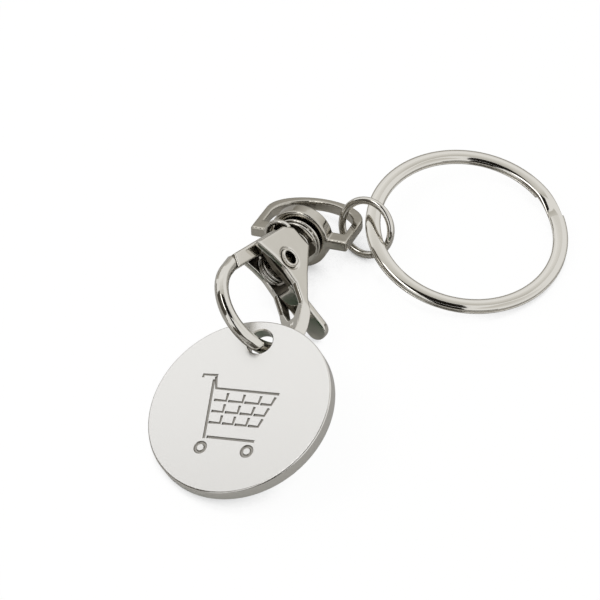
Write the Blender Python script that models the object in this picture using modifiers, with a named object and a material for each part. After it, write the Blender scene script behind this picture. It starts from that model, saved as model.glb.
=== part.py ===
"""Keyring with a trolley token: a coin blank on a sprung snap hook, with a swivel eye,
a jump ring and a split ring for keys.

Every piece is drawn in the frame of the piece that carries it. The hook's frame has its
origin on the rivet, X towards the swivel, Y towards the gate and Z along the rivet. The whole
lies on the plane z = 0 in the pose in which it was dropped there, token at -X, keys at +X.
"""
import math

import bmesh
import bpy
from mathutils import Matrix, Vector

MM = 0.001

# Coin blank
TOKEN_DIAMETER = 23.2 * MM
TOKEN_THICKNESS = 1.7 * MM
TOKEN_EDGE_ROUND = 0.2 * MM
TOKEN_HOLE_DIAMETER = 3.2 * MM
TOKEN_HOLE_OFFSET = 8.8 * MM
TOKEN_RIM_WIDTH = 0.7 * MM
TOKEN_COLLAR_WALL = 0.6 * MM
TOKEN_FIELD_DEPTH = 0.5 * MM
TOKEN_HANG = 0.31 * MM
ENAMEL_SINK = 0.05 * MM
ENAMEL_GAP = 0.1 * MM

# Bow of the hook, one round bar bent to a ring that the gate closes
BOW_RADIUS = 5.86 * MM
BOW_BAR = 1.75 * MM
BOW_REACH = 8.1 * MM
JUNCTION_REACH = 6.6 * MM
JUNCTION_GAP = 0.2 * MM

# Cheeks of the hook, measured from the rivet
CHEEK_GAP = 2.8 * MM
CHEEK_WALL = 0.8 * MM
CHEEK_REACH = 2.5 * MM
CHEEK_GATE_SIDE = 3.85 * MM
CHEEK_SPINE_SIDE = 3.45 * MM
CHEEK_EDGE_ROUND = 0.25 * MM
REAR_REACH = 4.95 * MM
REAR_WALL = 0.75 * MM
REAR_WALL_TOP = 1.7 * MM
SPINE_WEB = 0.9 * MM
SLOT_REAR = 0.95 * MM
SLOT_FRONT = 5.1 * MM
SLOT_TIP_WIDTH = 0.9 * MM
RAIL_TAPER_START = 3.6 * MM
RAIL_TIP_WIDTH = 1.5 * MM
COUNTERBORE_DEPTH = 0.15 * MM

# Neck, flange and swivel stud, turned in one with the hook
NECK_DIAMETER = 3.8 * MM
FLANGE_DIAMETER = 6.5 * MM
FLANGE_THICKNESS = 0.9 * MM
FLANGE_STANDOFF = 0.5 * MM
STUD_DIAMETER = 2.5 * MM
STUD_HEAD_DIAMETER = 3.6 * MM
STUD_HEAD_HEIGHT = 0.75 * MM
SWIVEL_SHAKE = 0.42 * MM
EDGE_ROUND = 0.15 * MM

# Trigger lever
GATE_OFFSET = 3.18 * MM
GATE_REAR = 2.7 * MM
HUB_DIAMETER = 4.4 * MM
HUB_THICKNESS = 0.6 * MM
TONGUE_THICKNESS = 1.1 * MM
TONGUE_REACH = 10.1 * MM
TONGUE_START = 2.75 * MM
TONGUE_FORWARD = 1.0 * MM
LEVER_EDGE_ROUND = 0.2 * MM

# Rivet and spring
RIVET_DIAMETER = 2.3 * MM
RIVET_BORE = 1.7 * MM
RIVET_HEAD_DIAMETER = 2.9 * MM
RIVET_HEAD_HEIGHT = 0.35 * MM
SPRING_WIRE = 0.35 * MM
SPRING_DIAMETER = 4.0 * MM
SPRING_REAR_LEG = 3.2 * MM
SPRING_GATE_LEG = 2.6 * MM
RUNNING_GAP = 0.1 * MM

# Swivel eye
EYE_WIDTH = 12.7 * MM
EYE_HEIGHT = 9.4 * MM
EYE_ARCH_RISE = 4.0 * MM
EYE_STRIP = 1.0 * MM
EYE_DEPTH = 1.4 * MM
EYE_BASE = 2.0 * MM
EYE_HUB_DIAMETER = 7.8 * MM

# Jump ring
JUMP_WIRE = 0.95 * MM
JUMP_RADIUS = 3.48 * MM
JUMP_CUT = 0.12 * MM
JUMP_SEAT_OFFSET = 1.19 * MM
JUMP_SEAT_RISE = 0.16 * MM

# Split ring
SPLIT_DIAMETER = 25.46 * MM
SPLIT_STRIP = 1.86 * MM
SPLIT_HEIGHT = 1.3 * MM
SPLIT_LAYER_GAP = 0.42 * MM
SPLIT_CORNER = 0.18 * MM
SPLIT_PIERCE_RADIUS = 0.95 * MM

# Angles
GATE_SLOPE = math.radians(12.9)
JUNCTION_SLANT = math.radians(24.3)
RAIL_ANGLE = math.radians(-62)
RAIL_END_ANGLE = math.radians(-95)
TOKEN_SLIDE = math.radians(215.8)
TOKEN_LEAN = (math.radians(60.4), math.radians(18.5), math.radians(-12.4))
SWIVEL_TURN = math.radians(132.7)
JUMP_SEAT_ANGLE = math.radians(12.3)
JUMP_LEAN = (math.radians(75.6), math.radians(-7), math.radians(101.7))
JUMP_CUT_ANGLE = math.radians(60)
SPLIT_PIERCE_ANGLE = math.radians(-14.5)
SPLIT_LEAN = (math.radians(125.3), math.radians(-36.85), math.radians(4.3))
SPLIT_STEP_ANGLE = math.radians(21.4)
SPLIT_STEP_SPREAD = math.radians(10.5)
HOOK_LEAN = (math.radians(38.7), math.radians(16.35), math.radians(19.6))

# Counts
ROUND_STEPS = 64
SMALL_STEPS = 40
ARC_POINTS = 44
SPRING_TURNS = 2
SPRING_POINTS_A_TURN = 10
SPLIT_TURNS = 2
SPLIT_POINTS_A_TURN = 56

# Shares of the cheek's reach and of its gate side or spine side, down the front edge
FRONT_GATE_SHARES = ((-0.88, 0.78), (-0.76, 0.42), (-0.7, 0))
FRONT_SPINE_SHARES = ((-0.72, -0.15), (-0.88, -0.72), (-1.5, -1.3))
# Shares of the rear reach and of the spine side, along the spine from the rear to the rails
SPINE_SHARES = ((1, -0.32), (0.18, -0.88), (-0.48, -1.42), (-0.8, -1.82))
# Share of the rear reach where the gate side turns down to the rear edge
REAR_CORNER_SHARE = 0.7
REAR_TOP_SHARE = 0.62
WEB_START_SHARE = 0.7
# Share of the tongue's start where the arm that carries it leaves the hub
NECK_START_SHARE = 0.3

# Clearances and tolerances
OVERRUN = 1.0 * MM
FUSE = 0.12 * MM
STUD_GAP = 0.12 * MM
SPRING_LEAST_GAP = 0.4 * MM
WELD = 0.0005 * MM
FLOOR_GAP = 0.0 * MM

STEEL_BRIGHT = (0.78, 0.77, 0.74, 1)
STEEL_SPRING = (0.62, 0.6, 0.56, 1)
ENAMEL_GREEN = (0.03, 0.25, 0.06, 1)


def start_scene():
    for obj in list(bpy.data.objects):
        bpy.data.objects.remove(obj, do_unlink=True)
    parts = bpy.data.collections.new("coin_holder_keyring")
    helpers = bpy.data.collections.new("cutters")
    bpy.context.scene.collection.children.link(parts)
    bpy.context.scene.collection.children.link(helpers)
    return parts, helpers


PARTS, HELPERS = start_scene()


def metal(name, colour, roughness, metallic=1.0):
    mat = bpy.data.materials.new(name)
    mat.use_nodes = True
    shader = mat.node_tree.nodes["Principled BSDF"]
    shader.inputs["Base Color"].default_value = colour
    shader.inputs["Metallic"].default_value = metallic
    shader.inputs["Roughness"].default_value = roughness
    return mat


def add_frame(name, parent, location=(0, 0, 0), angles=(0, 0, 0)):
    empty = bpy.data.objects.new(name, None)
    empty.parent = parent
    empty.location = location
    empty.rotation_euler = angles
    HELPERS.objects.link(empty)
    return empty


def as_mesh(obj, name, collection):
    """Turn a curve or a modified object into a welded mesh that keeps its frame and parent."""
    bpy.context.view_layer.update()
    shown = obj.evaluated_get(bpy.context.evaluated_depsgraph_get())
    mesh = bpy.data.meshes.new_from_object(shown)
    work = bmesh.new()
    work.from_mesh(mesh)
    bmesh.ops.remove_doubles(work, verts=work.verts, dist=WELD)
    bmesh.ops.recalc_face_normals(work, faces=work.faces)
    work.to_mesh(mesh)
    work.free()
    parent = obj.parent
    place = obj.matrix_local.copy()
    bpy.data.objects.remove(obj)
    solid = bpy.data.objects.new(name, mesh)
    solid.parent = parent
    solid.matrix_local = place
    collection.objects.link(solid)
    return solid


def hide(obj):
    obj.hide_render = True
    obj.display_type = "WIRE"
    return obj


def plate(name, parent, loops, half_thickness, rounding=0, matrix=None, collection=HELPERS):
    """A flat outline, with any inner loops as holes, given thickness along its local Z."""
    curve = bpy.data.curves.new(name, "CURVE")
    curve.dimensions = "2D"
    curve.fill_mode = "BOTH"
    curve.extrude = half_thickness - rounding
    curve.bevel_depth = rounding
    curve.bevel_resolution = 2
    curve.offset = -rounding
    for loop in loops:
        spline = curve.splines.new("POLY")
        spline.points.add(len(loop) - 1)
        spline.use_cyclic_u = True
        for point, (x, y) in zip(spline.points, loop):
            point.co = (x, y, 0, 1)
    obj = bpy.data.objects.new(name + "_outline", curve)
    obj.parent = parent
    if matrix is not None:
        obj.matrix_local = matrix
    collection.objects.link(obj)
    return as_mesh(obj, name, collection)


def tube(name, parent, points, radius, sides=2, section=None, collection=HELPERS):
    """A bar or wire along points, round unless a section curve is given."""
    curve = bpy.data.curves.new(name, "CURVE")
    curve.dimensions = "3D"
    curve.use_fill_caps = True
    if section is None:
        curve.bevel_depth = radius
        curve.bevel_resolution = sides
    else:
        curve.bevel_mode = "OBJECT"
        curve.bevel_object = section
        curve.twist_mode = "Z_UP"
    spline = curve.splines.new("POLY")
    spline.points.add(len(points) - 1)
    for point, place in zip(spline.points, points):
        point.co = (*place, 1)
    obj = bpy.data.objects.new(name + "_path", curve)
    obj.parent = parent
    collection.objects.link(obj)
    return as_mesh(obj, name, collection)


def turned(name, parent, profile, steps, matrix=None, collection=HELPERS):
    """A closed or axis-to-axis profile of (radius, height), top to bottom, turned round Z."""
    mesh = bpy.data.meshes.new(name + "_profile")
    work = bmesh.new()
    verts = [work.verts.new((radius, 0, height)) for radius, height in profile]
    for one, two in zip(verts, verts[1:]):
        work.edges.new((one, two))
    if profile[0][0] > 0:
        work.edges.new((verts[-1], verts[0]))
    work.to_mesh(mesh)
    work.free()
    obj = bpy.data.objects.new(name + "_profile", mesh)
    obj.parent = parent
    if matrix is not None:
        obj.matrix_local = matrix
    collection.objects.link(obj)
    screw = obj.modifiers.new("Turn", "SCREW")
    screw.axis = "Z"
    screw.steps = steps
    screw.render_steps = steps
    screw.use_merge_vertices = True
    screw.merge_threshold = WELD
    return as_mesh(obj, name, collection)


def cylinder(name, parent, radius, low, high, x=0, y=0, steps=SMALL_STEPS, matrix=None):
    mesh = bpy.data.meshes.new(name)
    work = bmesh.new()
    middle = Matrix.Translation((x, y, (low + high) / 2))
    bmesh.ops.create_cone(work, cap_ends=True, segments=steps, radius1=radius, radius2=radius,
                          depth=high - low, matrix=middle)
    work.to_mesh(mesh)
    work.free()
    obj = bpy.data.objects.new(name, mesh)
    obj.parent = parent
    if matrix is not None:
        obj.matrix_local = matrix
    HELPERS.objects.link(obj)
    return obj


def combine(obj, tool, operation):
    step = obj.modifiers.new(tool.name, "BOOLEAN")
    step.operation = operation
    step.object = hide(tool)
    step.solver = "EXACT"


def present(obj, mat):
    obj.data.materials.clear()
    obj.data.materials.append(mat)
    obj.data.shade_smooth()
    obj.data.set_sharp_from_angle(angle=math.radians(35))
    if obj.name not in PARTS.objects:
        PARTS.objects.link(obj)
        HELPERS.objects.unlink(obj)
    return obj


def arc(centre_x, centre_y, radius, start, end, count):
    step = (end - start) / (count - 1)
    return [(centre_x + radius * math.cos(start + i * step),
             centre_y + radius * math.sin(start + i * step)) for i in range(count)]


def columns(x_axis, y_axis, origin=(0, 0, 0)):
    x_axis = Vector(x_axis).normalized()
    y_axis = Vector(y_axis).normalized()
    z_axis = x_axis.cross(y_axis)
    basis = Matrix((x_axis, y_axis, z_axis)).transposed().to_4x4()
    basis.translation = Vector(origin)
    return basis


def least_gap(points, thickness, skip):
    """Least clear distance between parts of one path that are more than skip points apart."""
    nearest = min((Vector(one) - Vector(two)).length
                  for i, one in enumerate(points) for two in points[i + skip:])
    return nearest - thickness


def along(a, b, share):
    return a + (b - a) * share


# Sizes that follow from the ones above
SLOT_HALF = CHEEK_GAP / 2
BODY_HALF = SLOT_HALF + CHEEK_WALL
LEVER_HALF = SLOT_HALF - RUNNING_GAP
HUB_UNDERSIDE = LEVER_HALF - HUB_THICKNESS
GATE_HALF = BOW_BAR / 2
GATE_LINE_TOP = GATE_OFFSET / math.cos(GATE_SLOPE) + JUNCTION_REACH * math.tan(GATE_SLOPE)
BOW_DROP = BOW_RADIUS - GATE_LINE_TOP
FLANGE_FRONT = REAR_REACH + FLANGE_STANDOFF
FLANGE_REAR = FLANGE_FRONT + FLANGE_THICKNESS
EYE_FRONT = FLANGE_REAR + SWIVEL_SHAKE
STUD_HEAD_FRONT = EYE_FRONT + EYE_BASE + STUD_GAP
RIVET_HOLE = RIVET_DIAMETER + 2 * RUNNING_GAP
EYE_LEG = EYE_HEIGHT - EYE_ARCH_RISE


def bow_point(angle, radius):
    return (-BOW_REACH + radius * math.cos(angle), -BOW_DROP + radius * math.sin(angle))


def side_outline():
    """Cheeks and rails seen along the rivet, from the front of the gate side and round."""
    gate_front = CHEEK_GATE_SIDE + CHEEK_REACH * math.tan(GATE_SLOPE)
    corner = REAR_REACH * REAR_CORNER_SHARE
    gate_corner = CHEEK_GATE_SIDE - corner * math.tan(GATE_SLOPE)
    outer = BOW_RADIUS + GATE_HALF - FUSE
    inner = BOW_RADIUS - GATE_HALF + FUSE
    loop = [(-CHEEK_REACH, gate_front), (corner, gate_corner),
            (REAR_REACH, gate_corner * REAR_TOP_SHARE)]
    loop += [(REAR_REACH * along_share, CHEEK_SPINE_SIDE * down_share)
             for along_share, down_share in SPINE_SHARES]
    loop += arc(-BOW_REACH, -BOW_DROP, outer, RAIL_ANGLE, RAIL_END_ANGLE, 7)
    loop += arc(-BOW_REACH, -BOW_DROP, inner, RAIL_END_ANGLE, RAIL_ANGLE, 7)
    loop += [(CHEEK_REACH * ahead, CHEEK_SPINE_SIDE * up)
             for ahead, up in reversed(FRONT_SPINE_SHARES)]
    loop += [(CHEEK_REACH * ahead, CHEEK_GATE_SIDE * up)
             for ahead, up in reversed(FRONT_GATE_SHARES)]
    return loop


def plan_outline():
    """The hook seen from the gate side: full width at the cheeks, drawn in to the bow's bar."""
    tip = RAIL_TIP_WIDTH / 2
    return [(REAR_REACH + OVERRUN, BODY_HALF + OVERRUN), (REAR_REACH + OVERRUN, -BODY_HALF - OVERRUN),
            (-CHEEK_REACH, -BODY_HALF - OVERRUN), (-CHEEK_REACH, -BODY_HALF),
            (-RAIL_TAPER_START, -BODY_HALF), (-BOW_REACH, -tip), (-BOW_REACH - OVERRUN, -tip),
            (-BOW_REACH - OVERRUN, tip), (-BOW_REACH, tip), (-RAIL_TAPER_START, BODY_HALF),
            (-CHEEK_REACH, BODY_HALF), (-CHEEK_REACH, BODY_HALF + OVERRUN)]


def slot_outline():
    """The slot through the spine for the thumb tongue, seen from the gate side."""
    tip = SLOT_TIP_WIDTH / 2
    return [(SLOT_REAR, SLOT_HALF), (SLOT_REAR, -SLOT_HALF), (-RAIL_TAPER_START, -SLOT_HALF),
            (-SLOT_FRONT, -tip), (-SLOT_FRONT, tip), (-RAIL_TAPER_START, SLOT_HALF)]


def cavity_outline():
    """The room behind the hub, open on the gate side and over the rear wall."""
    rear = REAR_REACH - REAR_WALL
    top = CHEEK_GATE_SIDE + OVERRUN
    far = REAR_REACH + OVERRUN
    slope = (SPINE_SHARES[1][1] - SPINE_SHARES[0][1]) / (SPINE_SHARES[1][0] - SPINE_SHARES[0][0])
    rise = slope * CHEEK_SPINE_SIDE / REAR_REACH
    web_rear = SPINE_SHARES[0][1] * CHEEK_SPINE_SIDE + SPINE_WEB - REAR_WALL * rise
    start = SLOT_REAR * WEB_START_SHARE
    web_front = web_rear - (rear - start) * rise
    return [(start, web_front), (rear, web_rear), (rear, REAR_WALL_TOP), (far, REAR_WALL_TOP),
            (far, top), (start, top)]


def swivel_profile():
    """Neck, flange, stud and peened head, radius against distance from the rivet."""
    neck = NECK_DIAMETER / 2
    flange = FLANGE_DIAMETER / 2
    stud = STUD_DIAMETER / 2
    head = STUD_HEAD_DIAMETER / 2
    head_rear = STUD_HEAD_FRONT + STUD_HEAD_HEIGHT
    return [(0, head_rear), (head - STUD_HEAD_HEIGHT, head_rear), (head - EDGE_ROUND, head_rear - STUD_HEAD_HEIGHT / 2),
            (head, STUD_HEAD_FRONT + EDGE_ROUND), (head, STUD_HEAD_FRONT), (stud, STUD_HEAD_FRONT),
            (stud, FLANGE_REAR), (flange - EDGE_ROUND, FLANGE_REAR), (flange, FLANGE_REAR - EDGE_ROUND),
            (flange, FLANGE_FRONT + EDGE_ROUND), (flange - EDGE_ROUND, FLANGE_FRONT),
            (neck, FLANGE_FRONT), (neck, REAR_REACH - REAR_WALL + RUNNING_GAP), (0, REAR_REACH - REAR_WALL + RUNNING_GAP)]


ALONG_SWIVEL = columns((0, 0, -1), (0, 1, 0))
ACROSS_PLAN = columns((1, 0, 0), (0, 0, 1))


def build_hook(hook, steel):
    body = plate("hook_body", hook, [side_outline()], BODY_HALF, CHEEK_EDGE_ROUND)
    reach = BOW_RADIUS + BOW_BAR + OVERRUN
    combine(body, plate("plan_shape", hook, [plan_outline()], reach, matrix=ACROSS_PLAN), "INTERSECT")
    combine(body, plate("tongue_slot", hook, [slot_outline()], reach, matrix=ACROSS_PLAN), "DIFFERENCE")
    combine(body, plate("rear_room", hook, [cavity_outline()], SLOT_HALF), "DIFFERENCE")
    for side in (1, -1):
        low, high = sorted((side * (BODY_HALF - COUNTERBORE_DEPTH), side * (BODY_HALF + OVERRUN)))
        sink = cylinder("rivet_sink", hook, RIVET_HEAD_DIAMETER / 2 + RUNNING_GAP, low, high)
        combine(body, sink, "DIFFERENCE")
    combine(body, cylinder("rivet_hole", hook, RIVET_HOLE / 2, -BODY_HALF - OVERRUN,
                           BODY_HALF + OVERRUN), "DIFFERENCE")
    ring = arc(-BOW_REACH, -BOW_DROP, BOW_RADIUS, RAIL_ANGLE, math.radians(-270), ARC_POINTS)
    tip = (-JUNCTION_REACH + BOW_BAR, ring[-1][1])
    bow = tube("bow_bar", hook, [(x, y, 0) for x, y in ring + [tip]], GATE_HALF, 4)
    combine(body, bow, "UNION")
    combine(body, turned("swivel_stud", hook, swivel_profile(), SMALL_STEPS, ALONG_SWIVEL), "UNION")
    junction = (-JUNCTION_REACH, GATE_LINE_TOP)
    slant = -GATE_SLOPE - JUNCTION_SLANT
    ahead = Vector((math.cos(slant), math.sin(slant)))
    side = Vector((-ahead.y, ahead.x))
    near = Vector(junction)
    wide = side * BOW_BAR * 2
    deep = ahead * BOW_BAR * 2
    loop = [near + wide, near - wide, near - wide + deep, near + wide + deep]
    combine(body, plate("tip_cut", hook, [[tuple(p) for p in loop]], BOW_BAR), "DIFFERENCE")
    return present(as_mesh(body, "hook_body", PARTS), steel)


def gate_outline():
    """The gate seen along the rivet: a bar with a slanted end that meets the bow's tip."""
    ahead = Vector((-math.cos(GATE_SLOPE), math.sin(GATE_SLOPE)))
    out = Vector((-ahead.y, ahead.x)) * -1
    base = out * GATE_OFFSET
    slant = JUNCTION_SLANT
    junction = Vector((-JUNCTION_REACH, GATE_LINE_TOP))
    reach = (junction - base).dot(ahead) - JUNCTION_GAP / math.cos(slant)
    shift = GATE_HALF * math.tan(slant)
    corners = [base - ahead * GATE_REAR + out * GATE_HALF, base - ahead * GATE_REAR - out * GATE_HALF,
               base + ahead * (reach + shift) - out * GATE_HALF,
               base + ahead * (reach - shift) + out * GATE_HALF]
    return [tuple(corner) for corner in corners]


def hub_outline():
    """The hub disc and the web that joins it to the gate, seen along the rivet."""
    ahead = Vector((-math.cos(GATE_SLOPE), math.sin(GATE_SLOPE)))
    out = Vector((-ahead.y, ahead.x)) * -1
    radius = HUB_DIAMETER / 2
    top = GATE_OFFSET + GATE_HALF - LEVER_EDGE_ROUND
    lean = math.atan2(out.y, out.x)
    loop = arc(0, 0, radius, lean + math.pi / 2, lean + math.pi * 3 / 2, 25)
    loop += [tuple(out * top - ahead * radius), tuple(out * top + ahead * radius)]
    return loop


def tongue_outline():
    """The thumb tongue seen square to its face, with a round end, x from the rivet outwards."""
    half = LEVER_HALF
    end = TONGUE_REACH - half
    return [(TONGUE_START, half), (TONGUE_START, -half)] + arc(end, 0, half, -math.pi / 2, math.pi / 2, 13)


def tongue_frame():
    ahead = -TONGUE_FORWARD
    down = -math.sqrt(TONGUE_REACH ** 2 - TONGUE_FORWARD ** 2)
    return columns((ahead, down, 0), (0, 0, 1), (-TONGUE_FORWARD * 1.5, 0, 0))


def build_trigger(hook, steel):
    lever = plate("trigger_lever", hook, [gate_outline()], GATE_HALF, LEVER_EDGE_ROUND)
    middle = HUB_UNDERSIDE + HUB_THICKNESS / 2
    hub = plate("hub_disc", hook, [hub_outline()], HUB_THICKNESS / 2, matrix=Matrix.Translation((0, 0, middle)))
    combine(lever, hub, "UNION")
    tongue = plate("thumb_tongue", hook, [tongue_outline()], TONGUE_THICKNESS / 2, LEVER_EDGE_ROUND,
                   matrix=tongue_frame())
    combine(lever, tongue, "UNION")
    thick = TONGUE_THICKNESS / 2
    near = TONGUE_START * NECK_START_SHARE
    arm = [(near, thick), (near, -thick), (TONGUE_START + thick, -thick), (TONGUE_START + thick, thick)]
    side_on = tongue_frame() @ columns((1, 0, 0), (0, 0, 1), (0, middle, 0))
    neck = plate("tongue_neck", hook, [arm], HUB_THICKNESS / 2, matrix=side_on)
    combine(lever, neck, "UNION")
    combine(lever, cylinder("hub_bore", hook, RIVET_HOLE / 2, -BODY_HALF, BODY_HALF), "DIFFERENCE")
    return present(as_mesh(lever, "trigger_lever", PARTS), steel)


def build_rivet(hook, steel):
    barrel = RIVET_DIAMETER / 2
    bore = RIVET_BORE / 2
    head = RIVET_HEAD_DIAMETER / 2
    seat = BODY_HALF - COUNTERBORE_DEPTH + RUNNING_GAP
    top = seat + RIVET_HEAD_HEIGHT
    soft = RIVET_HEAD_HEIGHT / 2
    upper = [(bore, top - soft), (bore + soft / 2, top), (head - soft, top), (head, top - soft),
             (head, seat), (barrel, seat)]
    lower = [(radius, -height) for radius, height in reversed(upper)]
    return present(turned("pivot_rivet", hook, upper + lower, SMALL_STEPS), steel)


def spring_path():
    """Rear leg, helix round the rivet and gate leg, in one unbroken run."""
    radius = SPRING_DIAMETER / 2
    low = -SLOT_HALF + RUNNING_GAP + SPRING_WIRE / 2
    high = HUB_UNDERSIDE - RUNNING_GAP - SPRING_WIRE / 2
    start = math.pi / 2
    end = math.pi / 2 - GATE_SLOPE + SPRING_TURNS * 2 * math.pi
    count = SPRING_TURNS * SPRING_POINTS_A_TURN + 1
    path = [(SPRING_REAR_LEG, radius, low), (SPRING_REAR_LEG / 2, radius, low)]
    for i in range(count):
        share = i / (count - 1)
        angle = start + (end - start) * share
        path.append((radius * math.cos(angle), radius * math.sin(angle), low + (high - low) * share))
    last = Vector(path[-1])
    ahead = Vector((-math.cos(GATE_SLOPE), math.sin(GATE_SLOPE), 0))
    return path + [tuple(last + ahead * SPRING_GATE_LEG * share) for share in (0.5, 1)]


def build_spring(hook, steel):
    path = spring_path()
    gap = least_gap(path, SPRING_WIRE, SPRING_POINTS_A_TURN - 3)
    print("trigger_spring least gap to itself in mm:", round(gap / MM, 3))
    return present(tube("trigger_spring", hook, path, SPRING_WIRE / 2, 1), steel)


def token_profile():
    """Half section of the coin blank: flat on the sign side, a sunk field on the other."""
    radius = TOKEN_DIAMETER / 2
    half = TOKEN_THICKNESS / 2
    soft = TOKEN_EDGE_ROUND
    field = radius - TOKEN_RIM_WIDTH
    floor = -half + TOKEN_FIELD_DEPTH
    top = [(radius - soft + x, half - soft + y) for x, y in arc(0, 0, soft, math.pi / 2, 0, 4)]
    low = [(x, -y) for x, y in reversed(top)]
    return [(0, half)] + top + low + [(field, -half), (field, floor), (0, floor)]


def build_token(token, steel, enamel_green):
    half = TOKEN_THICKNESS / 2
    hole = TOKEN_HOLE_DIAMETER / 2
    collar = hole + TOKEN_COLLAR_WALL
    centre = Matrix.Translation((TOKEN_HOLE_OFFSET, 0, 0))
    body = turned("token_body", token, token_profile(), ROUND_STEPS * 2, centre)
    floor = -half + TOKEN_FIELD_DEPTH
    boss = cylinder("collar", token, collar, -half, floor + FUSE)
    combine(body, boss, "UNION")
    combine(body, cylinder("token_hole", token, hole, -half - OVERRUN, half + OVERRUN), "DIFFERENCE")
    enamel = cylinder("token_enamel", token, TOKEN_DIAMETER / 2 - TOKEN_RIM_WIDTH - ENAMEL_GAP,
                      -half + ENAMEL_SINK, floor - ENAMEL_GAP, steps=ROUND_STEPS * 2, matrix=centre)
    combine(enamel, cylinder("collar_room", token, collar + ENAMEL_GAP, -half - OVERRUN, half), "DIFFERENCE")
    return (present(as_mesh(body, "token_body", PARTS), steel),
            present(as_mesh(enamel, "token_enamel", PARTS), enamel_green))


def eye_loop(inset):
    """The D of the swivel eye, x away from the hook, y across, drawn in by inset."""
    half = EYE_WIDTH / 2 - inset
    base = inset if inset == 0 else EYE_BASE
    rise = EYE_ARCH_RISE
    arch = [(EYE_LEG - inset + rise * math.sin(t * math.pi / 20), half * math.cos(t * math.pi / 20))
            for t in range(21)]
    return [(base, half)] + arch + [(base, -half)]


def build_eye(eye, steel):
    turn = columns((1, 0, 0), (0, 1, 0))
    body = plate("swivel_eye", eye, [eye_loop(0), eye_loop(EYE_STRIP)], EYE_DEPTH / 2, EDGE_ROUND, turn)
    radius = EYE_HUB_DIAMETER / 2
    hub = turned("eye_hub", eye, [(0, EYE_BASE), (radius - EDGE_ROUND, EYE_BASE), (radius, EYE_BASE - EDGE_ROUND),
                                  (radius, EDGE_ROUND), (radius - EDGE_ROUND, 0), (0, 0)], ROUND_STEPS, ALONG_SWIVEL)
    combine(body, hub, "UNION")
    bore = cylinder("stud_bore", eye, STUD_DIAMETER / 2 + STUD_GAP, -OVERRUN, EYE_BASE + OVERRUN,
                    matrix=ALONG_SWIVEL)
    combine(body, bore, "DIFFERENCE")
    return present(as_mesh(body, "swivel_eye", PARTS), steel)


def build_jump(jump, steel):
    cut = JUMP_CUT / JUMP_RADIUS
    loop = arc(JUMP_SEAT_OFFSET, 0, JUMP_RADIUS, JUMP_CUT_ANGLE + cut, JUMP_CUT_ANGLE + 2 * math.pi - cut, ARC_POINTS)
    return present(tube("jump_ring", jump, [(x, y, JUMP_SEAT_RISE) for x, y in loop], JUMP_WIRE / 2, 3), steel)


def split_path():
    """Two flat turns and the step from one to the other, centre at +X of the strand's seat."""
    radius = (SPLIT_DIAMETER - SPLIT_STRIP) / 2
    layer = (SPLIT_HEIGHT + SPLIT_LAYER_GAP) / 4
    start = SPLIT_STEP_ANGLE + SPLIT_STEP_SPREAD
    end = SPLIT_STEP_ANGLE - SPLIT_STEP_SPREAD + SPLIT_TURNS * 2 * math.pi
    count = SPLIT_TURNS * SPLIT_POINTS_A_TURN
    path = []
    for i in range(count):
        angle = start + (end - start) * i / (count - 1)
        late = (angle - SPLIT_STEP_ANGLE - 2 * math.pi) / SPLIT_STEP_SPREAD
        climb = max(-1, min(1, late))
        climb = climb * (3 - climb ** 2) / 2
        path.append((radius + radius * math.cos(angle), radius * math.sin(angle), layer * climb))
    return path


def build_split(split, steel):
    half = SPLIT_STRIP / 2
    high = (SPLIT_HEIGHT - SPLIT_LAYER_GAP) / 4
    soft = SPLIT_CORNER
    loop = [(half - soft, high), (half, high - soft), (half, -high + soft), (half - soft, -high),
            (-half + soft, -high), (-half, -high + soft), (-half, high - soft), (-half + soft, high)]
    curve = bpy.data.curves.new("strip_section", "CURVE")
    curve.dimensions = "2D"
    curve.fill_mode = "NONE"
    spline = curve.splines.new("POLY")
    spline.points.add(len(loop) - 1)
    spline.use_cyclic_u = True
    for point, (x, y) in zip(spline.points, loop):
        point.co = (x, y, 0, 1)
    section = bpy.data.objects.new("strip_section", curve)
    HELPERS.objects.link(hide(section))
    path = split_path()
    print("split_ring least gap to itself in mm:",
          round(least_gap(path, 2 * high, SPLIT_POINTS_A_TURN // 2) / MM, 3))
    return present(tube("split_ring", split, path, half, section=section), steel)


def lowest_box(parts):
    bpy.context.view_layer.update()
    graph = bpy.context.evaluated_depsgraph_get()
    points = []
    for part in parts:
        shown = part.evaluated_get(graph)
        points += [shown.matrix_world @ vert.co for vert in shown.data.vertices]
    low = [min(point[axis] for point in points) for axis in range(3)]
    high = [max(point[axis] for point in points) for axis in range(3)]
    return low, high


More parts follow.
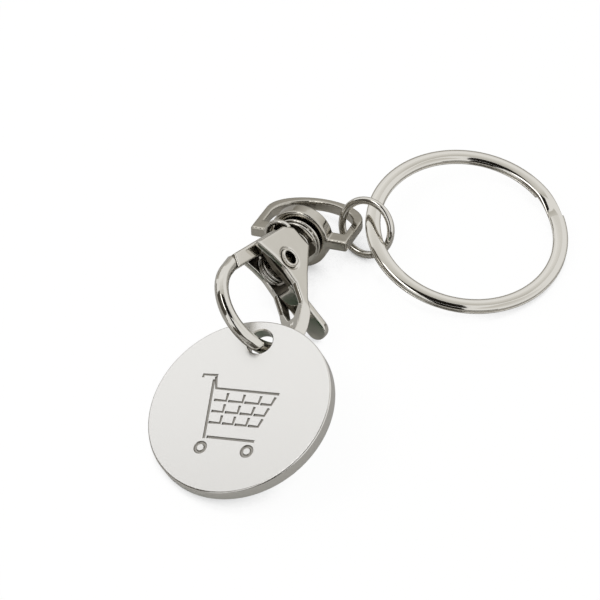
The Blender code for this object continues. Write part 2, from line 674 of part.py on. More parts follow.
def main():
    plated = metal("nickel_plate", STEEL_BRIGHT, 0.12)
    spring_steel = metal("spring_steel", STEEL_SPRING, 0.3)
    green = metal("green_enamel", ENAMEL_GREEN, 0.08, 0.0)
    base = add_frame("keyring_frame", None)
    hook = add_frame("hook_frame", base, angles=HOOK_LEAN)
    token_axis = add_frame("token_slide", hook, (-BOW_REACH, -BOW_DROP, 0), (0, 0, TOKEN_SLIDE))
    token = add_frame("token_frame", token_axis, (BOW_RADIUS - TOKEN_HANG, 0, 0), TOKEN_LEAN)
    eye = add_frame("swivel_axis", hook, (EYE_FRONT, 0, 0), (SWIVEL_TURN, 0, 0))
    strip = EYE_STRIP / 2
    seat = (EYE_LEG - strip + EYE_ARCH_RISE * math.sin(JUMP_SEAT_ANGLE),
            (EYE_WIDTH / 2 - strip) * math.cos(JUMP_SEAT_ANGLE), 0)
    jump = add_frame("jump_pivot", eye, seat, JUMP_LEAN)
    pierce = (JUMP_SEAT_OFFSET + SPLIT_PIERCE_RADIUS * math.cos(SPLIT_PIERCE_ANGLE),
              SPLIT_PIERCE_RADIUS * math.sin(SPLIT_PIERCE_ANGLE), JUMP_SEAT_RISE)
    contact = add_frame("split_pivot", jump, pierce, (0, 0, SPLIT_PIERCE_ANGLE))
    split = add_frame("split_frame", contact, (0, 0, 0), SPLIT_LEAN)
    parts = [build_hook(hook, plated), build_trigger(hook, plated), build_rivet(hook, plated),
             build_spring(hook, spring_steel), *build_token(token, plated, green), build_eye(eye, plated),
             build_jump(jump, plated), build_split(split, plated)]
    low, high = lowest_box(parts)
    base.location = (-(low[0] + high[0]) / 2, -(low[1] + high[1]) / 2, -low[2] + FLOOR_GAP)
    bpy.context.view_layer.update()


main()
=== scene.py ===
"""How the keyring with the trolley token looks: plated metal, green enamel and a white studio.

Sizes of the keyring are in millimetres, and MM turns them to Blender's metres. A piece of the hook,
the token, the swivel eye, the jump ring or the split ring is drawn in the frame that carries it and
placed by that frame's matrix. The camera and the studio are in metres.
"""
import math

import bmesh
import bpy
from mathutils import Euler, Matrix, Vector
from mathutils.bvhtree import BVHTree


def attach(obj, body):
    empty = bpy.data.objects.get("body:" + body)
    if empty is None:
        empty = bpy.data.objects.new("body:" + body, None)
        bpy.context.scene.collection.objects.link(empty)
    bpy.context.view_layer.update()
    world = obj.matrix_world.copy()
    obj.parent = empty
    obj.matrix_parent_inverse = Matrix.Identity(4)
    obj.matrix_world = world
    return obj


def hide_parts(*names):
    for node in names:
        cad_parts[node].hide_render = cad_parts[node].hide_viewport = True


MM = 0.001

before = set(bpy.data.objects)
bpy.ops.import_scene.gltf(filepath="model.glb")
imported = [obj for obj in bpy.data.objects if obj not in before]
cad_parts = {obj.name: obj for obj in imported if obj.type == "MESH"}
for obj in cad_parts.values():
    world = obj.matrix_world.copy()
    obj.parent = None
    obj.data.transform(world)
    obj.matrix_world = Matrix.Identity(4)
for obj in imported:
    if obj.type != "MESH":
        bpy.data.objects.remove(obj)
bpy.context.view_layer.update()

# Frames, each in the one that carries it: place in millimetres, angles in degrees
HOOK_AT = ((-2.5844, 7.0852, 6.2116), (38.7, 16.35, 19.6))
BOW_AT = ((-8.1, -1.0861, 0), (0, 0, 215.8))
TOKEN_AT = ((5.55, 0, 0), (60.4, 18.5, -12.4))
SWIVEL_AT = ((6.77, 0, 0), (132.7, 0, 0))
JUMP_AT = ((5.7497, 5.7158, 0), (75.6, -7, 101.7))
PIERCE_AT = ((2.1097, -0.2379, 0.16), (0, 0, -14.5))
SPLIT_AT = ((0, 0, 0), (125.3, -36.85, 4.3))

# Points of a mesh that are nearer than this become one
WELD_REACH = 0.0005
# Height of a wave in the metal, as a share of its length
WAVE_HEIGHT = 0.1

# Castings: the skin's grid, and how many rounds of smoothing each one gets
SKIN_STEP = 0.07
HOOK_ROUNDS = 14
LEVER_ROUNDS = 8
EYE_ROUNDS = 22

# Hook: the groove in its flange, as radius and place along the swivel's axis
FLANGE_GROOVE = ((4.2, 5.35), (4.2, 6.33), (3.16, 6.33), (3.12, 6.01),
                 (2.6, 5.97), (2.6, 5.85), (2.98, 5.81), (3.0, 5.35))
FLANGE_STEPS = 128
# Hood beside the neck: a cup that opens forward
HOOD_RISE = 2.3
HOOD_OUTER = 1.95
HOOD_INNER = 1.5
HOOD_WALL = 0.3
HOOD_FRONT = 4.35
HOOD_REAR = 5.22
HOOD_STEPS = 64
# Where polishing doesn't reach, the plate is dull and painted darker as shade: walls that face another
# wall this near, and the lever's hub
WALL_REACH = 3.1
SKIN_CLEAR = 0.05
HUB_REACH = 3.3

# Rivet
RIVET_BORE = 0.85
RIVET_BARREL = 1.15
RIVET_HEAD = 1.22
RIVET_SEAT = 2.15
RIVET_TOP = 2.5
RIVET_ROLL_RISE = 0.8
RIVET_ROLL_POINTS = 12

# Spring
SLOT_HALF = 1.4
HUB_UNDERSIDE = 0.7
RUNNING_GAP = 0.1
SPRING_WIRE = 0.34
SPRING_RADIUS = 2.0
SPRING_TURNS = 3
SPRING_TURN_POINTS = 48
SPRING_PITCH = 0.37
SPRING_REAR_LEG = 3.2
SPRING_GATE_LEG = 2.6
GATE_SLOPE = math.radians(12.9)

# Token, with the raised ring round its hole called the collar
TOKEN_RADIUS = 11.6
TOKEN_HALF = 0.85
TOKEN_EDGE = 0.22
TOKEN_EDGE_POINTS = 7
TOKEN_HOLE = 1.6
TOKEN_CENTRE = 8.8
TOKEN_STEPS = 256
FACE_RINGS = (0, 1, 2, 3, 4, 5, 6, 7, 8, 9, 10, 10.8)
HOLE_FLARE = 0.14
ROUND_STEPS = 96
RIM_WIDTH = 0.7
FIELD_DEPTH = 0.5
FIELD_LIP = 0.08
FIELD_RADIUS = TOKEN_RADIUS - RIM_WIDTH
FIELD_FLOOR = -TOKEN_HALF + FIELD_DEPTH
COLLAR_WALL = 0.6
COLLAR_RADIUS = TOKEN_HOLE + COLLAR_WALL
COLLAR_ROOT = 0.1
COLLAR_ROOM_DEPTH = 2
CUTTER_OVER = 0.1
# Enamel in the sunk field
ENAMEL_GAP = 0.02
ENAMEL_BED = 0.01
ENAMEL_SET = 0.03
ENAMEL_DOME = 0.1
ENAMEL_SHOULDER = 1.4
ENAMEL_SHOULDER_STEP = 10
# Which faces of the token are its plain face, and which belong to the stamped lines, which carry painted
# shade
LEVEL_COSINE = 0.97
FACE_SKIN = 0.05
STAMP_FLOOR = 0.4
STAMP_REACH = 9
STAMP_TOP = -5

# The trolley sign, in millimetres on the token's face: down the sign, then to its right
HANDLE = ((-3.35, -5.85), (-3.75, -5.85), (-3.8, -3.95))
RAIL = ((-3.6, -4.15), (-2.05, -3.63), (-2.0, 4.79))
POST = ((-3.2, -4.3), (4.65, -3.09))
LOWER_RAIL = ((4.43, -2.79), (4.45, 3.54))
ROW_FEET = (-0.5, 1.0, 2.5)
ROW_STARTS = (-3.42, -3.29, -3.16)
ROW_COLUMNS = ((-1.8, 0.36, 2.48, 4.16), (-1.76, 0.2, 2.06, 3.73), (-1.65, 0.04, 1.81, 3.39))
CELL_HEIGHT = 1.05
CELL_GAP = 0.27
CELL_LEANS = (-0.05, 0, 0.08, 0.28)
LINE_RADIUS = 0.17
WHEELS = ((5.88, -3.15), (5.81, 2.97))
WHEEL_RADIUS = 0.86
WHEEL_HUB = 0.42
WHEEL_DEPTH = 0.15
WHEEL_FLARE = 0.07
WHEEL_DRAFT = 0.1
WHEEL_STEPS = 48

# Jump ring
JUMP_RADIUS = 3.48
JUMP_WIRE = 0.95
JUMP_OFFSET = (1.19, 0, 0.16)
JUMP_CUT_ANGLE = 60
JUMP_CUT_HALF = 1.0
JUMP_POINTS = 160

# Split ring: a strip in two layers, with the step from one to the other
SPLIT_RADIUS = 11.8
SPLIT_STRIP = 1.86
SPLIT_HEIGHT = 1.3
SPLIT_SEAM = 0.04
SPLIT_SHOULDER = 0.2
SEAM_SHARE = 0.6
SPLIT_STEP_ANGLE = math.radians(21.4)
SPLIT_STEP_SPREAD = math.radians(10.5)
SPLIT_POINTS = 400
SECTION_POINTS = 40

# Camera, fitted to the photograph
CAMERA_TARGET = Vector((-0.893, 4.965, 0.007)) * MM
CAMERA_AZIMUTH = -48
CAMERA_ELEVATION = 50
CAMERA_DISTANCE = 0.4
CAMERA_NEAR = 0.01
CAMERA_LENS = 194.4
SENSOR_WIDTH = 36

# Light on dull surfaces, as a share of the white that is seen
WORLD_LIGHT = 0.4

# Floor: how far its own light hides shadows, and where things above still darken it
FLOOR_HALF = 0.6
FLOOR_DROP = 0.02 * MM
FLOOR_LIFT = 0.92
FLOOR_GLOW = 1.05
SHADE_REACH = 8 * MM
SHADE_OPEN = 0.5
SHADE_GLOW = 0.05
SHADE_SAMPLES = 8

# Cards round the object: name, azimuth and elevation in degrees, distance, width, height,
# colour at the foot, colour at the head, and how bright they are
BOARDS = (
    ("photographer", -54, 34, 0.5, 0.24, 0.52, "2a2621", "0f0e0d", 1.0),
    ("overhead", -48, 82, 0.48, 0.24, 0.32, "0f0e0d", "2a2621", 1.0),
    ("left_wall", -130, 38, 0.5, 0.42, 0.4, "2f2b25", "77726a", 1.0),
    ("dark_front", -48, 10, 0.52, 0.75, 0.17, "2e2a25", "6b665c", 1.0),
    ("dark_left", -138, 10, 0.52, 0.75, 0.17, "4a453d", "8c877d", 1.0),
    ("grey_back", 140, 11, 0.52, 0.75, 0.19, "8f8b82", "e0deda", 1.0),
    ("grey_right", 70, 10, 0.52, 0.9, 0.2, "d5d2cb", "ffffff", 1.0),
    ("soft_ceiling", 150, 62, 0.62, 0.8, 0.42, "ffffff", "c4c2bc", 1.1),
    ("soft_right", 30, 50, 0.6, 0.34, 0.4, "ffffff", "dcdad5", 1.0),
)
LAMP_PLACE = (-0.25, 0.2, 0.5)
LAMP_SIZE = 0.3
LAMP_ENERGY = 0.7


def hex_colour(code):
    """Linear colour, with alpha, of an sRGB code such as 'e6e3dd'."""
    parts = [int(code[i:i + 2], 16) / 255 for i in (0, 2, 4)]
    return (*(p / 12.92 if p <= 0.04045 else ((p + 0.055) / 1.055) ** 2.4 for p in parts), 1)


def add_node(tree, kind, **settings):
    """A node with its properties and inputs set. An input is given by its name, or by i and its
    number, and a socket as its value is linked."""
    node = tree.nodes.new(kind)
    for name, value in settings.items():
        if hasattr(node, name):
            setattr(node, name, value)
            continue
        by_number = name[:1] == "i" and name[1:].isdigit()
        socket = node.inputs[int(name[1:]) if by_number else name.replace("_", " ")]
        if isinstance(value, bpy.types.NodeSocket):
            tree.links.new(value, socket)
        else:
            socket.default_value = value
    return node


def new_material(name):
    mat = bpy.data.materials.new(name)
    mat.use_nodes = True
    return mat, mat.node_tree, mat.node_tree.nodes["Principled BSDF"]


def plated(name, colour, roughness, ripple_mm=0, ripple=0, grain_mm=0, grain=0):
    """Nickel plate. The ripple is the slow waviness of the metal under it, the grain its polish."""
    mat, tree, shader = new_material(name)
    shader.inputs["Base Color"].default_value = hex_colour(colour)
    shader.inputs["Metallic"].default_value = 1
    shader.inputs["Roughness"].default_value = roughness
    where = add_node(tree, "ShaderNodeTexCoord").outputs["Object"]
    normal = shader.inputs["Normal"]
    for size, strength, detail in ((grain_mm, grain, 3), (ripple_mm, ripple, 1)):
        if not strength:
            continue
        noise = add_node(tree, "ShaderNodeTexNoise", Vector=where, Scale=1 / (size * MM), Detail=detail)
        bump = add_node(tree, "ShaderNodeBump", Strength=strength, Height=noise.outputs["Fac"],
                        Distance=size * MM * WAVE_HEIGHT)
        tree.links.new(bump.outputs["Normal"], normal)
        normal = bump.inputs["Normal"]
    return mat


# Zinc die casting, barrel polished and nickel plated: sharp reflections over a slightly wavy skin
CAST = plated("polished_nickel_casting", "d6d3cc", 0.06, ripple_mm=2.4, ripple=0.12)
# Inside of the casting, plated but not polished: without sharp reflections, and darkened with painted
# shade
DULL_AND_SHADED = plated("dull_casting_painted_shade", "69645a", 0.38)
# The same plate on the small swivel casting, a little less polished
SWIVEL = plated("nickel_swivel_casting", "bdb9b0", 0.09, ripple_mm=1.6, ripple=0.16)
# Steel coin blank, tumbled and nickel plated: a satin face that mirrors only as a soft sheen
SATIN = plated("satin_nickel_face", "ebeae8", 0.24, grain_mm=0.12, grain=0.1)
# Rolled edge of the coin blank: brighter than its faces
BRIGHT_EDGE = plated("bright_nickel_edge", "dcdad6", 0.13)
# Stamped lines in the coin blank, where tumbling doesn't reach: dull, and grey with painted shade in the
# grooves
STAMPED_AND_SHADED = plated("shaded_stamped_groove", "a3a09a", 0.3)
# Nickel-plated wire and strip, drawn smooth: long unbroken reflections
DRAWN = plated("nickel_plated_strip", "d8d5ce", 0.07, ripple_mm=2.5, ripple=0.04)
# Turned and rolled rivet, plated: as bright as the hook
RIVET = plated("nickel_rivet", "d8d5ce", 0.08)
# Spring wire as drawn: a duller skin
SPRING = plated("drawn_spring_wire", "c9c6c0", 0.2)


def enamel_material():
    """Poured and cured hard enamel: even green under a thick clear gloss."""
    mat, tree, shader = new_material("green_enamel")
    shader.inputs["Base Color"].default_value = hex_colour("23803c")
    shader.inputs["Roughness"].default_value = 0.25
    shader.inputs["Coat Weight"].default_value = 1
    shader.inputs["Coat Roughness"].default_value = 0.04
    return mat


ENAMEL = enamel_material()


def frame_at(parent, place):
    at, angles = place
    turn = Euler([math.radians(angle) for angle in angles]).to_matrix().to_4x4()
    return parent @ Matrix.Translation(Vector(at) * MM) @ turn


def shifted(matrix, x, y, z):
    """The matrix moved along its own axes, in millimetres."""
    return matrix @ Matrix.Translation((x * MM, y * MM, z * MM))


HOOK = frame_at(Matrix.Identity(4), HOOK_AT)
TOKEN = frame_at(frame_at(HOOK, BOW_AT), TOKEN_AT)
EYE = frame_at(HOOK, SWIVEL_AT)
JUMP = frame_at(EYE, JUMP_AT)
SPLIT = frame_at(frame_at(JUMP, PIERCE_AT), SPLIT_AT)
# Turns a lathe's Z to the hook's X, which is the swivel's axis
ALONG_SWIVEL = Matrix(((0, 0, -1, 0), (0, 1, 0, 0), (1, 0, 0, 0), (0, 0, 0, 1))).transposed()


def link(name, mesh, matrix):
    obj = bpy.data.objects.new(name, mesh)
    obj.matrix_world = matrix
    bpy.context.scene.collection.objects.link(obj)
    return obj


def settle(obj):
    """Apply curves and modifiers, and put the mesh in the frame of the whole object."""
    bpy.context.view_layer.update()
    graph = bpy.context.evaluated_depsgraph_get()
    mesh = bpy.data.meshes.new_from_object(obj.evaluated_get(graph))
    mesh.transform(obj.matrix_world)
    name = obj.name
    bpy.data.objects.remove(obj)
    mesh.name = name
    return link(name, mesh, Matrix.Identity(4))


def weld(mesh):
    """Merge doubled points, and turn the faces outward."""
    work = bmesh.new()
    work.from_mesh(mesh)
    bmesh.ops.remove_doubles(work, verts=work.verts, dist=WELD_REACH * MM)
    bmesh.ops.recalc_face_normals(work, faces=work.faces)
    work.to_mesh(mesh)
    work.free()


def turned(name, profile, steps, matrix):
    """A profile of (radius, height), top to bottom, turned round Z. It is closed to itself
    where it doesn't start on the axis."""
    mesh = bpy.data.meshes.new(name)
    work = bmesh.new()
    verts = [work.verts.new((radius * MM, 0, height * MM)) for radius, height in profile]
    for one, two in zip(verts, verts[1:]):
        work.edges.new((one, two))
    if profile[0][0] > 0:
        work.edges.new((verts[-1], verts[0]))
    bmesh.ops.spin(work, geom=work.verts[:] + work.edges[:], cent=(0, 0, 0), axis=(0, 0, 1),
                   angle=2 * math.pi, steps=steps, use_merge=True)
    work.to_mesh(mesh)
    work.free()
    weld(mesh)
    return link(name, mesh, matrix)


def wire(name, points, thickness, matrix, roundness):
    """Round wire along points, as a mesh. Its section has 4 points and 2 more per roundness."""
    curve = bpy.data.curves.new(name, "CURVE")
    curve.dimensions = "3D"
    curve.use_fill_caps = True
    curve.bevel_depth = thickness / 2 * MM
    curve.bevel_resolution = roundness
    spline = curve.splines.new("POLY")
    spline.points.add(len(points) - 1)
    for point, place in zip(spline.points, points):
        point.co = (*(value * MM for value in place), 1)
    return settle(link(name, curve, matrix))


def cut(obj, *tools):
    """Take the tools away from obj, and throw them away."""
    for tool in tools:
        step = obj.modifiers.new(tool.name, "BOOLEAN")
        step.operation = "DIFFERENCE"
        step.object = tool
        step.solver = "MANIFOLD"
    done = settle(obj)
    for tool in tools:
        bpy.data.objects.remove(tool)
    return done


def join(obj, other):
    """Unite obj with the other, and throw the other away."""
    step = obj.modifiers.new(other.name, "BOOLEAN")
    step.operation = "UNION"
    step.object = other
    done = settle(obj)
    bpy.data.objects.remove(other)
    return done


def set_materials(obj, *mats):
    obj.data.materials.clear()
    for mat in mats:
        obj.data.materials.append(mat)


def dull_and_shade_inside(obj, polished, is_inside):
    """Leave the plate dull where no polishing medium reaches, and paint shade there with a darker
    colour.
    """
    set_materials(obj, polished, DULL_AND_SHADED)
    for face in obj.data.polygons:
        face.material_index = 1 if is_inside(face) else 0


def finish_piece(obj, body, node, sharp_angle=None):
    """Shade a piece, with its edges sharp from an angle in degrees, and hand it to the frame."""
    obj.data.shade_smooth()
    if sharp_angle:
        obj.data.set_sharp_from_angle(angle=math.radians(sharp_angle))
    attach(obj, body)
    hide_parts(node)


def arc(centre_x, centre_y, radius, start, end, count):
    """Points of an arc, angles in degrees, in the unit of the radius."""
    step = math.radians(end - start) / (count - 1)
    first = math.radians(start)
    return [(centre_x + radius * math.cos(first + i * step),
             centre_y + radius * math.sin(first + i * step)) for i in range(count)]


def softened(name, node, rounds, cutter=None, extra=None):
    """A copy of a CAD node with the rounded edges of a casting, less a cutter and with an extra
    form grown into its skin."""
    obj = link(name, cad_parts[node].data.copy(), Matrix.Identity(4))
    weld(obj.data)
    if cutter:
        obj = cut(obj, cutter)
    if extra:
        work = bmesh.new()
        work.from_mesh(obj.data)
        work.from_mesh(extra.data)
        work.to_mesh(obj.data)
        work.free()
        bpy.data.objects.remove(extra)
    skin = obj.modifiers.new("Skin", "REMESH")
    skin.mode = "VOXEL"
    skin.voxel_size = SKIN_STEP * MM
    smooth = obj.modifiers.new("Soften", "SMOOTH")
    smooth.factor = 0.5
    smooth.iterations = rounds
    return settle(obj)


def build_hook():
    groove = turned("flange_groove", FLANGE_GROOVE, FLANGE_STEPS, HOOK @ ALONG_SWIVEL)
    cup = [(0, HOOD_REAR), (HOOD_OUTER - HOOD_WALL, HOOD_REAR), (HOOD_OUTER, HOOD_REAR - HOOD_WALL),
           (HOOD_OUTER, HOOD_FRONT), (HOOD_INNER, HOOD_FRONT), (HOOD_INNER, HOOD_REAR - HOOD_WALL),
           (0, HOOD_REAR - HOOD_WALL)]
    hood = settle(turned("hood", cup, HOOD_STEPS, shifted(HOOK, 0, HOOD_RISE, 0) @ ALONG_SWIVEL))
    body = softened("hook_casting", "hook_body", HOOK_ROUNDS, cutter=groove, extra=hood)
    around = BVHTree.FromPolygons([vert.co for vert in body.data.vertices],
                                  [face.vertices for face in body.data.polygons])

    def faces_wall(face):
        start = face.center + face.normal * SKIN_CLEAR * MM
        return around.ray_cast(start, face.normal, WALL_REACH * MM)[0] is not None

    # Faces that look at another wall of the casting are dull and carry painted shade
    dull_and_shade_inside(body, CAST, faces_wall)
    finish_piece(body, "hook", "hook_body")


def build_lever():
    lever = softened("trigger_casting", "trigger_lever", LEVER_ROUNDS)
    back = HOOK.inverted()
    # The lever's hub between the cheeks is dull and carries painted shade
    dull_and_shade_inside(lever, CAST, lambda face: (back @ face.center).xy.length < HUB_REACH * MM)
    finish_piece(lever, "trigger", "trigger_lever")


def build_rivet():
    roll = (RIVET_HEAD - RIVET_BORE) / 2
    lip = RIVET_TOP - roll * RIVET_ROLL_RISE
    crown = [(RIVET_BORE + roll + x, lip + y * RIVET_ROLL_RISE)
             for x, y in arc(0, 0, roll, 180, 0, RIVET_ROLL_POINTS)]
    upper = crown + [(RIVET_HEAD, RIVET_SEAT), (RIVET_BARREL, RIVET_SEAT)]
    lower = [(radius, -height) for radius, height in reversed(upper)]
    rivet = settle(turned("hollow_rivet", upper + lower, ROUND_STEPS, HOOK))
    set_materials(rivet, RIVET)
    finish_piece(rivet, "hook", "pivot_rivet", sharp_angle=40)


def build_spring():
    """Its turns lie close together but for the last, which climbs to the hub's underside."""
    low = -SLOT_HALF + RUNNING_GAP + SPRING_WIRE / 2
    high = HUB_UNDERSIDE - RUNNING_GAP - SPRING_WIRE / 2
    start = math.pi / 2
    end = start - GATE_SLOPE + SPRING_TURNS * 2 * math.pi
    points = [(SPRING_REAR_LEG, SPRING_RADIUS, low), (SPRING_REAR_LEG / 2, SPRING_RADIUS, low)]
    count = SPRING_TURNS * SPRING_TURN_POINTS
    close = (SPRING_TURNS - 1) / SPRING_TURNS
    for i in range(count + 1):
        share = i / count
        angle = start + (end - start) * share
        climb = low + SPRING_PITCH * min(share, close) * SPRING_TURNS
        climb += (high - climb) * max(0, share - close) / (1 - close)
        points.append((SPRING_RADIUS * math.cos(angle), SPRING_RADIUS * math.sin(angle), climb))
    ahead = Vector((-math.cos(GATE_SLOPE), math.sin(GATE_SLOPE), 0))
    points.append(tuple(Vector(points[-1]) + ahead * SPRING_GATE_LEG))
    spring = wire("torsion_spring", points, SPRING_WIRE, HOOK, roundness=3)
    set_materials(spring, SPRING)
    finish_piece(spring, "trigger", "trigger_spring", sharp_angle=40)


def sign_cutters():
    """Cutters for the stamped lines of the trolley."""
    lines = [HANDLE, RAIL, POST, LOWER_RAIL]
    for foot, start, columns in zip(ROW_FEET, ROW_STARTS, ROW_COLUMNS):
        left = start
        for side, lean in zip(columns, CELL_LEANS):
            lines.append(((foot, left), (foot, side), (foot - CELL_HEIGHT, side + lean)))
            left = side + CELL_GAP
    cutters = []
    for line in lines:
        points = [(TOKEN_CENTRE + x, y, TOKEN_HALF) for x, y in line]
        cutters.append(wire("sign_line", points, 2 * LINE_RADIUS, TOKEN, roundness=3))
        weld(cutters[-1].data)
    top = TOKEN_HALF + CUTTER_OVER
    floor = TOKEN_HALF - WHEEL_DEPTH
    groove = [(WHEEL_RADIUS + WHEEL_FLARE, top), (WHEEL_RADIUS - WHEEL_DRAFT, floor),
              (WHEEL_HUB + WHEEL_DRAFT, floor), (WHEEL_HUB - WHEEL_FLARE, top)]
    for x, y in WHEELS:
        cutters.append(turned("sign_wheel", groove, WHEEL_STEPS, shifted(TOKEN, TOKEN_CENTRE + x, y, 0)))
    return cutters


def build_blank():
    """The coin blank: satin on its face, dull and darkened with painted shade in the stamped lines, and
    bright elsewhere. The face is shaded flat, because its long thin triangles would bend a smooth sheen."""
    centre = shifted(TOKEN, TOKEN_CENTRE, 0, 0)
    edge = arc(TOKEN_RADIUS - TOKEN_EDGE, TOKEN_HALF - TOKEN_EDGE, TOKEN_EDGE, 90, 0, TOKEN_EDGE_POINTS)
    face = [(radius, TOKEN_HALF) for radius in FACE_RINGS]
    under = [(x, -y) for x, y in reversed(edge)]
    field = [(FIELD_RADIUS + FIELD_LIP, -TOKEN_HALF), (FIELD_RADIUS, -TOKEN_HALF + FIELD_LIP),
             (FIELD_RADIUS, FIELD_FLOOR), (0, FIELD_FLOOR)]
    blank = settle(turned("token_blank", face + edge + under + field, TOKEN_STEPS, centre))
    root = FIELD_FLOOR + COLLAR_ROOT
    collar = [(0, root), (COLLAR_RADIUS, root), (COLLAR_RADIUS, -TOKEN_HALF + FIELD_LIP),
              (COLLAR_RADIUS - FIELD_LIP, -TOKEN_HALF), (0, -TOKEN_HALF)]
    blank = join(blank, turned("collar", collar, ROUND_STEPS, TOKEN))
    over = TOKEN_HALF + CUTTER_OVER
    mouth = TOKEN_HOLE + HOLE_FLARE + CUTTER_OVER
    bore = [(0, over), (mouth, over), (TOKEN_HOLE, TOKEN_HALF - HOLE_FLARE),
            (TOKEN_HOLE, -TOKEN_HALF + HOLE_FLARE), (mouth, -over), (0, -over)]
    blank = cut(blank, turned("token_hole", bore, ROUND_STEPS, TOKEN), *sign_cutters())
    set_materials(blank, SATIN, BRIGHT_EDGE, STAMPED_AND_SHADED)
    up = TOKEN.to_3x3() @ Vector((0, 0, 1))
    back = centre.inverted()
    for face in blank.data.polygons:
        x, y, z = (back @ face.center) / MM
        if abs(face.normal.dot(up)) > LEVEL_COSINE and z > TOKEN_HALF - FACE_SKIN:
            face.material_index = 0
        # Walls and floors of the stamped lines: dull, and painted darker as shade
        elif z > STAMP_FLOOR and x > STAMP_TOP and math.hypot(x, y) < STAMP_REACH:
            face.material_index = 2
        else:
            face.material_index = 1
    finish_piece(blank, "token", "token_body", sharp_angle=28)
    for face in blank.data.polygons:
        face.use_smooth = face.material_index != 0


def build_enamel():
    reach = FIELD_RADIUS - ENAMEL_GAP
    top = -TOKEN_HALF + ENAMEL_SET
    shoulder = [(reach - ENAMEL_SHOULDER * (1 - math.sin(math.radians(slope))),
                 top + ENAMEL_DOME * (1 - math.cos(math.radians(slope))))
                for slope in range(90, -1, -ENAMEL_SHOULDER_STEP)]
    bed = FIELD_FLOOR - ENAMEL_BED
    lens = [(0, bed), (reach, bed)] + shoulder + [(0, top)]
    fill = turned("enamel_fill", lens, TOKEN_STEPS, shifted(TOKEN, TOKEN_CENTRE, 0, 0))
    room = COLLAR_RADIUS + ENAMEL_GAP
    bore = [(0, 0), (room, 0), (room, -COLLAR_ROOM_DEPTH), (0, -COLLAR_ROOM_DEPTH)]
    fill = cut(fill, turned("collar_room", bore, ROUND_STEPS, TOKEN))
    set_materials(fill, ENAMEL)
    finish_piece(fill, "token", "token_enamel", sharp_angle=30)


def build_eye():
    eye = softened("swivel_casting", "swivel_eye", EYE_ROUNDS)
    set_materials(eye, SWIVEL)
    finish_piece(eye, "eye", "swivel_eye")


def build_jump():
    start = JUMP_CUT_ANGLE + JUMP_CUT_HALF
    end = JUMP_CUT_ANGLE - JUMP_CUT_HALF + 360
    x, y, z = JUMP_OFFSET
    points = [(*spot, z) for spot in arc(x, y, JUMP_RADIUS, start, end, JUMP_POINTS)]
    ring = wire("jump_wire", points, JUMP_WIRE, JUMP, roundness=8)
    set_materials(ring, DRAWN)
    finish_piece(ring, "jump", "jump_ring", sharp_angle=50)


def strip_section(share):
    """Section of the split ring's strip: share 0 is the lower layer, crowned below, and share 1
    the upper one, crowned above. Both are rounded a little where they meet."""
    wide, shoulder = SPLIT_STRIP / 2, SPLIT_SHOULDER
    points = []
    for i in range(SECTION_POINTS):
        angle = 2 * math.pi * (i + 0.5) / SECTION_POINTS
        x, y = math.cos(angle), math.sin(angle)
        crown = shoulder + (SPLIT_HEIGHT / 2 - shoulder) * abs(y)
        seam = shoulder - (shoulder - SPLIT_SEAM / 2) * abs(y) ** SEAM_SHARE
        upper, lower = (crown, -seam) if y > 0 else (seam, -crown)
        points.append((wide * x, lower + (upper - lower) * share))
    return points


def build_split():
    """Two turns of strip that pass from the lower layer to the upper at the step."""
    start = SPLIT_STEP_ANGLE + SPLIT_STEP_SPREAD
    end = SPLIT_STEP_ANGLE - SPLIT_STEP_SPREAD + 4 * math.pi
    mesh = bpy.data.meshes.new("key_ring")
    work = bmesh.new()
    rings = []
    for i in range(SPLIT_POINTS):
        angle = start + (end - start) * i / (SPLIT_POINTS - 1)
        late = max(-1, min(1, (angle - SPLIT_STEP_ANGLE - 2 * math.pi) / SPLIT_STEP_SPREAD))
        share = (1 + late * (3 - late ** 2) / 2) / 2
        ring = []
        for x, y in strip_section(share):
            radius = SPLIT_RADIUS + x
            ring.append(work.verts.new(((SPLIT_RADIUS + radius * math.cos(angle)) * MM,
                                        radius * math.sin(angle) * MM, y * MM)))
        rings.append(ring)
    for one, two in zip(rings, rings[1:]):
        for i in range(SECTION_POINTS):
            work.faces.new((one[i - 1], one[i], two[i], two[i - 1]))
    work.faces.new(rings[0])
    work.faces.new(rings[-1])
    bmesh.ops.recalc_face_normals(work, faces=work.faces)
    work.to_mesh(mesh)
    work.free()
    ring = settle(link("key_ring", mesh, SPLIT))
    set_materials(ring, DRAWN)
    finish_piece(ring, "keyring", "split_ring", sharp_angle=60)


def compass(azimuth, elevation):
    """Direction from the object, in degrees. Azimuth 0 is -Y, and 90 is +X."""
    turn, rise = math.radians(azimuth), math.radians(elevation)
    return Vector((math.sin(turn) * math.cos(rise), -math.cos(turn) * math.cos(rise), math.sin(rise)))


def aimed(direction):
    """Angles of a camera or lamp that looks in a direction."""
    return direction.to_track_quat("-Z", "Y").to_euler()


def build_camera():
    data = bpy.data.cameras.new("photo_camera")
    data.lens = CAMERA_LENS
    data.sensor_width = SENSOR_WIDTH
    data.sensor_fit = "HORIZONTAL"
    data.clip_start = CAMERA_NEAR
    camera = bpy.data.objects.new("photo_camera", data)
    side = compass(CAMERA_AZIMUTH, CAMERA_ELEVATION)
    camera.location = CAMERA_TARGET + side * CAMERA_DISTANCE
    camera.rotation_euler = aimed(-side)
    bpy.context.scene.collection.objects.link(camera)
    bpy.context.scene.camera = camera


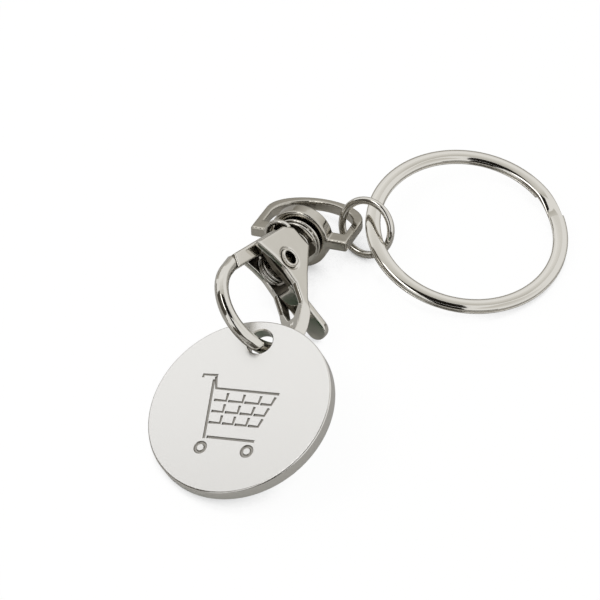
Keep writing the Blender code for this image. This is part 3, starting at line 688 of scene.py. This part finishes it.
def build_world():
    """White where the camera, a mirror or clear stuff looks, softer as light on dull surfaces."""
    world = bpy.data.worlds.new("white_studio")
    world.use_nodes = True
    tree = world.node_tree
    tree.nodes.clear()
    path = add_node(tree, "ShaderNodeLightPath").outputs
    seen = add_node(tree, "ShaderNodeMath", operation="MAXIMUM",
                    i0=path["Is Camera Ray"], i1=path["Is Glossy Ray"]).outputs[0]
    seen = add_node(tree, "ShaderNodeMath", operation="MAXIMUM",
                    i0=seen, i1=path["Is Transmission Ray"]).outputs[0]
    white = add_node(tree, "ShaderNodeBackground", Color=hex_colour("ffffff"), Strength=1.0)
    soft = add_node(tree, "ShaderNodeBackground", Color=hex_colour("ffffff"), Strength=WORLD_LIGHT)
    mix = add_node(tree, "ShaderNodeMixShader", i0=seen, i1=soft.outputs[0], i2=white.outputs[0])
    add_node(tree, "ShaderNodeOutputWorld", Surface=mix.outputs[0])
    bpy.context.scene.world = world


def sheet_mesh(name, half_width, half_height, mat):
    """A flat rectangle in the XY plane, in metres."""
    mesh = bpy.data.meshes.new(name)
    x, y = half_width, half_height
    mesh.from_pydata([(-x, -y, 0), (x, -y, 0), (x, y, 0), (-x, y, 0)], [], [(0, 1, 2, 3)])
    mesh.materials.append(mat)
    return mesh


def build_floor():
    """White sheet with its own light for the camera, so that a trace of the object's shadow is
    left, and dark only where little light reaches, as through the token's hole."""
    mat, tree, shader = new_material("white_sheet")
    shader.inputs["Base Color"].default_value = hex_colour("e8e6e2")
    shader.inputs["Roughness"].default_value = 0.9
    path = add_node(tree, "ShaderNodeLightPath").outputs
    lift = add_node(tree, "ShaderNodeMath", operation="MULTIPLY",
                    i0=path["Is Camera Ray"], i1=FLOOR_LIFT).outputs[0]
    sky = add_node(tree, "ShaderNodeAmbientOcclusion", samples=SHADE_SAMPLES, Distance=SHADE_REACH)
    lit = add_node(tree, "ShaderNodeMapRange", i0=sky.outputs["AO"], i1=0.0, i2=SHADE_OPEN,
                   i3=SHADE_GLOW, i4=FLOOR_GLOW).outputs[0]
    glow = add_node(tree, "ShaderNodeEmission", Color=hex_colour("ffffff"), Strength=lit)
    mix = add_node(tree, "ShaderNodeMixShader", i0=lift, i1=shader.outputs[0], i2=glow.outputs[0])
    tree.links.new(mix.outputs[0], tree.nodes["Material Output"].inputs["Surface"])
    mesh = sheet_mesh("white_sheet", FLOOR_HALF, FLOOR_HALF, mat)
    link("white_sheet", mesh, Matrix.Translation((0, 0, -FLOOR_DROP)))


def build_board(name, azimuth, elevation, distance, width, height, foot, head, level):
    """A card in the studio that only the metal sees, square to the line from the object and
    shaded from one colour at its foot to another at its head."""
    mat = bpy.data.materials.new(name)
    mat.use_nodes = True
    tree = mat.node_tree
    tree.nodes.clear()
    where = add_node(tree, "ShaderNodeTexCoord").outputs["Generated"]
    rise = add_node(tree, "ShaderNodeSeparateXYZ", Vector=where).outputs["Y"]
    blend = add_node(tree, "ShaderNodeMix", data_type="RGBA", i0=rise,
                     i6=hex_colour(foot), i7=hex_colour(head)).outputs[2]
    glow = add_node(tree, "ShaderNodeEmission", Color=blend, Strength=level)
    add_node(tree, "ShaderNodeOutputMaterial", Surface=glow.outputs[0])
    aim = compass(azimuth, elevation)
    turn = aim.to_track_quat("Z", "Y").to_matrix().to_4x4()
    board = link(name, sheet_mesh(name, width / 2, height / 2, mat),
                 Matrix.Translation(CAMERA_TARGET + aim * distance) @ turn)
    board.visible_camera = False
    board.visible_diffuse = False
    board.visible_shadow = False
    board.visible_transmission = False


def build_lamp():
    data = bpy.data.lights.new("soft_key", "AREA")
    data.shape = "SQUARE"
    data.size = LAMP_SIZE
    data.energy = LAMP_ENERGY
    lamp = bpy.data.objects.new("soft_key", data)
    lamp.location = LAMP_PLACE
    lamp.rotation_euler = aimed(CAMERA_TARGET - lamp.location)
    bpy.context.scene.collection.objects.link(lamp)


def build_studio():
    build_camera()
    build_world()
    build_floor()
    for board in BOARDS:
        build_board(*board)
    build_lamp()
    bpy.context.scene.view_settings.view_transform = "Standard"


build_hook()
build_lever()
build_rivet()
build_spring()
build_blank()
build_enamel()
build_eye()
build_jump()
build_split()
build_studio()
